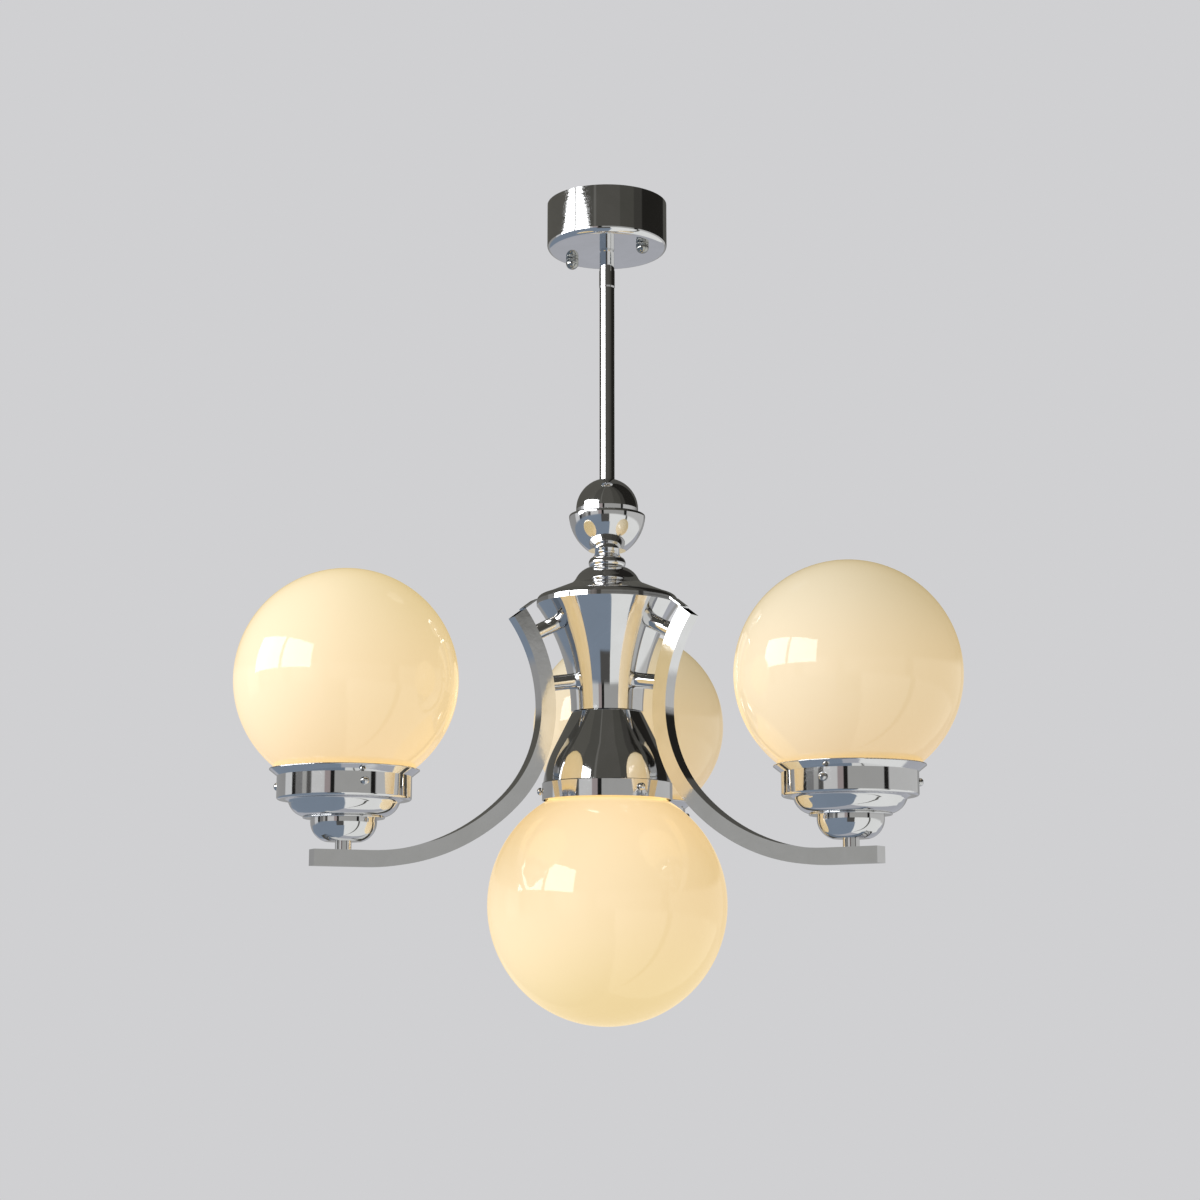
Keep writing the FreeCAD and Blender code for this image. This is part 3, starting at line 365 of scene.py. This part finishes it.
def dress(label, finish, crease=32):
    """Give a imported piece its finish, and smooth shading that stops at its edges."""
    mesh = nodes[label].data
    mesh.materials.clear()
    mesh.materials.append(finish)
    mesh.shade_smooth()
    mesh.set_sharp_from_angle(angle=math.radians(crease))


zinc = metal_finish("zinc_plate", (0.55, 0.56, 0.58), (0.28, 0.42), 60, (900, 900, 900), 0.00002)
for label in ("mounting_plate", "canopy_studs", "stud_lock_nuts", "stem_nipple", "stem_lock_nut",
              "tie_tube", "tie_nut", "post_nipples", "post_nuts", "holder_nipples", "holder_nuts"):
    dress(label, zinc)

white_plastic = bpy.data.materials.new("white_block")
white_plastic.use_nodes = True
block_steps = white_plastic.node_tree.nodes
block_surface = block_steps["Principled BSDF"]
block_surface.inputs["Roughness"].default_value = 0.38
grain = block_steps.new("ShaderNodeTexNoise")
grain.inputs["Scale"].default_value = 140
aged = block_steps.new("ShaderNodeValToRGB")
aged.color_ramp.elements[0].color = (0.70, 0.68, 0.61, 1)
aged.color_ramp.elements[1].color = (0.80, 0.79, 0.75, 1)
white_plastic.node_tree.links.new(grain.outputs["Fac"], aged.inputs["Fac"])
white_plastic.node_tree.links.new(aged.outputs["Color"], block_surface.inputs["Base Color"])
dress("terminal_block", white_plastic)

# ---------------------------------------------------------------- canopy, stem and column
# Spun brass shells under bright chrome plate.  Spinning leaves faint rings
# around each shell; the stem is drawn tube with faint lines along it.
chrome_tone = (0.78, 0.78, 0.785)
spun_chrome = metal_finish("spun_chrome", chrome_tone, (0.035, 0.085), 26, (6, 6, 420), 0.000035)
for label in ("canopy", "knob_dome", "knob_bowl", "column_cap", "column", "bell", "lower_gallery"):
    dress(label, spun_chrome)
turned_chrome = metal_finish("turned_chrome", chrome_tone, (0.03, 0.07), 44, (10, 10, 900), 0.00002)
for label in ("spool", "stem_sleeve", "stem_coupler", "cup_spacers"):
    dress(label, turned_chrome)
drawn_chrome = metal_finish("drawn_chrome", chrome_tone, (0.035, 0.08), 30, (520, 520, 5), 0.00002)
for label in ("stem_tube", "upper_posts", "lower_posts"):
    dress(label, drawn_chrome)

# ---------------------------------------------------------------- canopy cap nuts
# Two small nuts that hold the canopy on its studs: a short knurled side and a
# smooth domed end, chrome plated brass.
cap_nut_r = 0.0055
knurl_count = 26
knurl_depth = 0.0004


def surface_of_rings(name, rings, closed_start=True, closed_end=True):
    """Mesh from rings of points that all hold as many points; each end can be closed."""
    built = bmesh.new()
    made = [[built.verts.new(point) for point in ring] for ring in rings]
    count = len(made[0])
    for first, second in zip(made, made[1:]):
        for index in range(count):
            after = (index + 1) % count
            built.faces.new((first[index], first[after], second[after], second[index]))
    if closed_start:
        built.faces.new(list(reversed(made[0])))
    if closed_end:
        built.faces.new(made[-1])
    bmesh.ops.recalc_face_normals(built, faces=built.faces)
    mesh = bpy.data.meshes.new(name)
    built.to_mesh(mesh)
    built.free()
    return mesh


def ring_at(height, radius, sides, ripple=None):
    """Ring of points about Z; ripple adds to the radius at each angle."""
    points = []
    for index in range(sides):
        angle = 2 * math.pi * index / sides
        reach = radius + (ripple(angle) if ripple else 0)
        points.append((reach * math.cos(angle), reach * math.sin(angle), height))
    return points


def knurl(angle):
    return -knurl_depth * (0.5 - 0.5 * math.cos(knurl_count * angle)) ** 0.7


low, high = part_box("canopy_cap_nut_right")
cap_nut_side = high.z - low.z - cap_nut_r
cap_bevel = 0.0003
knurl_margin = 0.0008
knurl_rings = 7
cap_sides = knurl_count * 6
dome_rings = 12
dome_step = math.radians(7.3)
cap_rings = [
    ring_at(0, cap_nut_r * 0.45, cap_sides),
    ring_at(0, cap_nut_r - 0.0004, cap_sides),
    ring_at(-cap_bevel, cap_nut_r, cap_sides),
    ring_at(-2 * cap_bevel, cap_nut_r, cap_sides),
]
for step in range(knurl_rings):
    depth = knurl_margin + step * (cap_nut_side - 2 * knurl_margin) / (knurl_rings - 1)
    cap_rings.append(ring_at(-depth, cap_nut_r, cap_sides, knurl))
cap_rings.append(ring_at(-cap_nut_side + 2 * cap_bevel, cap_nut_r, cap_sides))
for step in range(dome_rings + 1):
    depth = cap_nut_side + cap_nut_r * math.sin(step * dome_step)
    cap_rings.append(ring_at(-depth, cap_nut_r * math.cos(step * dome_step), cap_sides))
cap_mesh = surface_of_rings("canopy_cap_nut", cap_rings)
cap_mesh.shade_smooth()
cap_mesh.set_sharp_from_angle(angle=math.radians(50))
cap_chrome = metal_finish("cap_nut_chrome", (0.44, 0.44, 0.42), (0.07, 0.16), 180, (700, 700, 700), 0.00002)
cap_mesh.materials.append(cap_chrome)
for hand in ("right", "left"):
    low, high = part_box("canopy_cap_nut_" + hand)
    cap = bpy.data.objects.new("knurled_cap_nut_" + hand, cap_mesh)
    cap.location = ((low.x + high.x) / 2, (low.y + high.y) / 2, high.z)
    sky.collection.objects.link(cap)
    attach(cap, "canopy_cap_nut_" + hand)
    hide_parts("canopy_cap_nut_" + hand)

# ---------------------------------------------------------------- arms
# Square steel tube bent in sweeping arcs and plated; the flat sides keep the
# faint waviness of the bend.  Each end is closed by a small square plate.
bent_chrome = metal_finish("bent_chrome", chrome_tone, (0.035, 0.08), 30, (34, 34, 34), 0.00030)
for label in ("arm_left", "arm_right", "arm_back"):
    dress(label, bent_chrome)
dress("arm_end_plates", turned_chrome)

# ---------------------------------------------------------------- cups and galleries
# Two spun cups stacked on each arm's end under a gallery, a ring with a wide
# lip that carries the globe.  All chrome plated like the column.
for label in ("lower_cups", "upper_cups", "gallery_left", "gallery_right", "gallery_back"):
    dress(label, spun_chrome)

# ---------------------------------------------------------------- gallery screws
# Small round-headed screws, three to a gallery, with a straight slot across
# the head and a fine thread along the shank.
shank_r = 0.0015
head_r = 0.0032
head_side = 0.0014
head_dome = 0.0022
slot_width = 0.0009
slot_depth = 0.0013
thread_pitch = 0.0005
thread_depth = 0.00018
thread_start = 0.0004
tip_bevel = 0.0003
head_bevel = 0.0002


def threaded(height, radius, sides, pitch, depth):
    """Ring of a thread: the crest winds once about Z in each pitch."""
    def crest(angle):
        turn = height / pitch - angle / (2 * math.pi)
        return -depth * (0.5 + 0.5 * math.cos(2 * math.pi * turn))
    return ring_at(height, radius, sides, crest)


def screw_mesh(name, length):
    """Screw along +Z: tip at zero, head at the far end, slot cut into its dome."""
    sides = 24
    rings = [ring_at(0, shank_r * 0.6, sides), ring_at(tip_bevel, shank_r - 0.0001, sides)]
    count = max(int((length - 2 * thread_start) / (thread_pitch / 6)), 4)
    for step in range(count + 1):
        height = thread_start + step * (length - thread_start - head_bevel) / count
        rings.append(threaded(height, shank_r, sides, thread_pitch, thread_depth))
    rings += [ring_at(length, shank_r, sides), ring_at(length, head_r - head_bevel, sides)]
    rings += [ring_at(length + head_bevel, head_r, sides), ring_at(length + head_side, head_r, sides)]
    dome_r = (head_r ** 2 + head_dome ** 2) / (2 * head_dome)
    lean_end = math.asin(head_r / dome_r)
    for step in range(1, 9):
        lean = lean_end * (1 - step / 9)
        height = length + head_side + head_dome - dome_r * (1 - math.cos(lean))
        rings.append(ring_at(height, dome_r * math.sin(lean), sides))
    body = bpy.data.objects.new(name, surface_of_rings(name, rings))
    sky.collection.objects.link(body)
    cutter_mesh = bpy.data.meshes.new(name + "_slot")
    built = bmesh.new()
    bmesh.ops.create_cube(built, size=1)
    built.to_mesh(cutter_mesh)
    built.free()
    cutter = bpy.data.objects.new(name + "_slot", cutter_mesh)
    cutter.scale = (slot_width, 0.02, slot_depth * 2)
    cutter.location = (0, 0, length + head_side + head_dome)
    sky.collection.objects.link(cutter)
    slot_cut = body.modifiers.new("slot", "BOOLEAN")
    slot_cut.object = cutter
    slot_cut.operation = "DIFFERENCE"
    slot_cut.solver = "EXACT"
    bpy.context.view_layer.update()
    cut_mesh = bpy.data.meshes.new_from_object(body.evaluated_get(bpy.context.evaluated_depsgraph_get()))
    cut_mesh.name = name
    for spare in (body, cutter):
        bpy.data.objects.remove(spare)
    cut_mesh.materials.clear()
    cut_mesh.shade_smooth()
    cut_mesh.set_sharp_from_angle(angle=math.radians(38))
    return cut_mesh


screw_chrome = metal_finish("screw_chrome", (0.70, 0.70, 0.70), (0.06, 0.14), 260, (900, 900, 900), 0.00001)
screw_shapes = {}
for lamp in ("left", "right", "back", "bottom"):
    for index in (1, 2, 3):
        label = "gallery_screw_%s_%d" % (lamp, index)
        joint = [j for j in frame["joints"] if j["child"] == label][0]
        outward = Vector(joint["axis"]).normalized()
        points = [v.co for v in nodes[label].data.vertices]
        near = min(point.dot(outward) for point in points)
        far = max(point.dot(outward) for point in points)
        key = round(far - near, 5)
        if key not in screw_shapes:
            shank_length = far - near - head_side - head_dome
            screw_shapes[key] = screw_mesh("slotted_screw_%d" % len(screw_shapes), shank_length)
            screw_shapes[key].materials.append(screw_chrome)
        low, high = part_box(label)
        middle = (low + high) / 2
        tip = middle + outward * (near - middle.dot(outward))
        screw = bpy.data.objects.new("slotted_" + label, screw_shapes[key])
        slot_turn = Matrix.Rotation(math.radians(25 + 57 * index), 4, "Z")
        pointing = outward.to_track_quat("Z", "Y").to_matrix().to_4x4()
        screw.matrix_world = Matrix.Translation(tip) @ pointing @ slot_turn
        sky.collection.objects.link(screw)
        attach(screw, label)
        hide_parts(label)

# ---------------------------------------------------------------- lampholders
# Glazed white ceramic lampholders screwed onto the nipples, hidden by the
# galleries and the globes' necks.
glaze = bpy.data.materials.new("white_glaze")
glaze.use_nodes = True
glaze_steps = glaze.node_tree.nodes
glaze_surface = glaze_steps["Principled BSDF"]
glaze_surface.inputs["Roughness"].default_value = 0.16
glaze_surface.inputs["Coat Weight"].default_value = 0.5
glaze_noise = glaze_steps.new("ShaderNodeTexNoise")
glaze_noise.inputs["Scale"].default_value = 90
glaze_tone = glaze_steps.new("ShaderNodeValToRGB")
glaze_tone.color_ramp.elements[0].color = (0.72, 0.69, 0.62, 1)
glaze_tone.color_ramp.elements[1].color = (0.82, 0.81, 0.77, 1)
glaze.node_tree.links.new(glaze_noise.outputs["Fac"], glaze_tone.inputs["Fac"])
glaze.node_tree.links.new(glaze_tone.outputs["Color"], glaze_surface.inputs["Base Color"])
dress("arm_lampholders", glaze)
dress("lower_lampholder", glaze)

# ---------------------------------------------------------------- bulbs
# Frosted bulbs with a nickel-plated screw cap: rolled thread, the step of its
# glass ring and a soldered tip, all in the cap's one metal finish.  They are lit.
bulb_length = 0.098
bulb_r = 0.0275
cap_r = 0.0132
cap_height = 0.0254
cap_pitch = 0.0036
cap_thread_depth = 0.0011
cap_thread_start = 0.005
cap_thread_step = 0.0005
cap_thread_rings = 37
bulb_sides = 64
cap_metal = metal_finish("bulb_cap", (0.72, 0.70, 0.64), (0.14, 0.30), 120, (300, 300, 300), 0.00003)
frosted = bpy.data.materials.new("frosted_glass")
frosted.use_nodes = True
frost_steps = frosted.node_tree.nodes
frost_surface = frost_steps["Principled BSDF"]
frost_surface.inputs["Roughness"].default_value = 0.45
frost_surface.inputs["Emission Strength"].default_value = 2.2
frost_noise = frost_steps.new("ShaderNodeTexNoise")
frost_noise.inputs["Scale"].default_value = 55
frost_tone = frost_steps.new("ShaderNodeValToRGB")
frost_tone.color_ramp.elements[0].color = (1.0, 0.78, 0.48, 1)
frost_tone.color_ramp.elements[1].color = (1.0, 0.84, 0.58, 1)
frosted.node_tree.links.new(frost_noise.outputs["Fac"], frost_tone.inputs["Fac"])
frosted.node_tree.links.new(frost_tone.outputs["Color"], frost_surface.inputs["Base Color"])
frosted.node_tree.links.new(frost_tone.outputs["Color"], frost_surface.inputs["Emission Color"])

# Heights and radii from the soldered tip, over the glass ring, to the thread.
tip_outline = (
    (0, 0.002), (0.0002, 0.0042), (0.0016, 0.0045), (0.0020, 0.0072), (0.0036, 0.0108), (0.0046, 0.0124),
)
cap_part = [ring_at(height, radius, bulb_sides) for height, radius in tip_outline]
for step in range(cap_thread_rings):
    height = cap_thread_start + step * cap_thread_step
    cap_part.append(threaded(height, cap_r, bulb_sides, cap_pitch, cap_thread_depth))
cap_part += [ring_at(0.0238, cap_r - 0.0004, bulb_sides), ring_at(cap_height, cap_r, bulb_sides)]
glass_foot_r = cap_r - 0.0003
glass_part = [ring_at(cap_height, glass_foot_r, bulb_sides)]
ball_height = bulb_length - bulb_r
shoulder_lean = math.radians(-35)
crown_lean = math.radians(89)
shoulder_r = bulb_r * math.cos(shoulder_lean)
shoulder_height = ball_height + bulb_r * math.sin(shoulder_lean)
for step in range(1, 13):
    share = step / 13
    eased = share * share * (3 - 2 * share)
    height = cap_height + share * (shoulder_height - cap_height)
    radius = glass_foot_r + (shoulder_r - glass_foot_r) * (0.35 * share + 0.65 * eased)
    glass_part.append(ring_at(height, radius, bulb_sides))
for step in range(25):
    lean = shoulder_lean + (crown_lean - shoulder_lean) * step / 24
    glass_part.append(ring_at(ball_height + bulb_r * math.sin(lean), bulb_r * math.cos(lean), bulb_sides))
cap_shape = surface_of_rings("bulb_cap", cap_part)
glass_shape = surface_of_rings("bulb_glass", glass_part)
for shape, finish in ((cap_shape, cap_metal), (glass_shape, frosted)):
    shape.shade_smooth()
    shape.materials.append(finish)
for lamp in ("left", "right", "back", "bottom"):
    low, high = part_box("bulb_" + lamp)
    foot = Vector(((low.x + high.x) / 2, (low.y + high.y) / 2, high.z if lamp == "bottom" else low.z))
    stand = Matrix.Translation(foot)
    if lamp == "bottom":
        stand = stand @ Matrix.Rotation(math.pi, 4, "X")
    for kind, shape in (("screw_cap_", cap_shape), ("frosted_bulb_", glass_shape)):
        piece = bpy.data.objects.new(kind + lamp, shape)
        piece.matrix_world = stand
        sky.collection.objects.link(piece)
        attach(piece, "bulb_" + lamp)
    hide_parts("bulb_" + lamp)

# ---------------------------------------------------------------- globes
# Cased opal glass, cream and glossy, lit from inside.  The glow is strongest
# and warmest beside the neck and fades toward the far side.


def opal_glass(label, centre, radius, neck_side, glow, far_glow):
    """Opal glass whose glow runs from the neck to the far side, which gets far_glow of it."""
    glass = bpy.data.materials.new("opal_" + label)
    glass.use_nodes = True
    steps = glass.node_tree.nodes
    links = glass.node_tree.links
    surface = steps["Principled BSDF"]
    surface.inputs["Roughness"].default_value = 0.05
    surface.inputs["IOR"].default_value = 1.5
    surface.inputs["Emission Strength"].default_value = glow
    where = steps.new("ShaderNodeTexCoord")
    split = steps.new("ShaderNodeSeparateXYZ")
    links.new(where.outputs["Object"], split.inputs["Vector"])
    height = steps.new("ShaderNodeMapRange")
    height.inputs["From Min"].default_value = centre + neck_side * radius
    height.inputs["From Max"].default_value = centre - neck_side * radius
    links.new(split.outputs["Z"], height.inputs["Value"])
    ramp = steps.new("ShaderNodeValToRGB")
    ramp.color_ramp.interpolation = "EASE"
    stops = ramp.color_ramp.elements
    stops[0].position = 0.05
    stops[0].color = (1.0, 0.66, 0.25, 1)
    stops[1].position = 0.95
    stops[1].color = (0.70 * far_glow, 0.50 * far_glow, 0.16 * far_glow, 1)
    middle = stops.new(0.42)
    middle.color = (0.93, 0.64, 0.24, 1)
    links.new(height.outputs["Result"], ramp.inputs["Fac"])
    links.new(ramp.outputs["Color"], surface.inputs["Emission Color"])
    cloud = steps.new("ShaderNodeTexNoise")
    cloud.inputs["Scale"].default_value = 9
    cloud.inputs["Detail"].default_value = 3
    links.new(where.outputs["Object"], cloud.inputs["Vector"])
    body = steps.new("ShaderNodeValToRGB")
    body.color_ramp.elements[0].color = (0.52, 0.51, 0.47, 1)
    body.color_ramp.elements[1].color = (0.56, 0.55, 0.51, 1)
    links.new(cloud.outputs["Fac"], body.inputs["Fac"])
    links.new(body.outputs["Color"], surface.inputs["Base Color"])
    wave = steps.new("ShaderNodeBump")
    wave.inputs["Strength"].default_value = 0.12
    wave.inputs["Distance"].default_value = 0.0006
    links.new(cloud.outputs["Fac"], wave.inputs["Height"])
    links.new(wave.outputs["Normal"], surface.inputs["Normal"])
    return glass


# Each globe gets its own glow and far-side glow, though the bulbs inside are alike: the differences are
# painted light and shade, with the back globe dimmest and the left and bottom globes brightest.
for lamp, glow, far_glow in (
    ("left", 0.67, 1.15),
    ("right", 0.56, 0.95),
    ("back", 0.47, 0.95),
    ("bottom", 0.68, 1.35),
):
    low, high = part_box("globe_" + lamp)
    radius = (high.x - low.x) / 2
    neck_side = 1 if lamp == "bottom" else -1
    centre = low.z + radius if lamp == "bottom" else high.z - radius
    dress("globe_" + lamp, opal_glass(lamp, centre, radius, neck_side, glow, far_glow), 40)
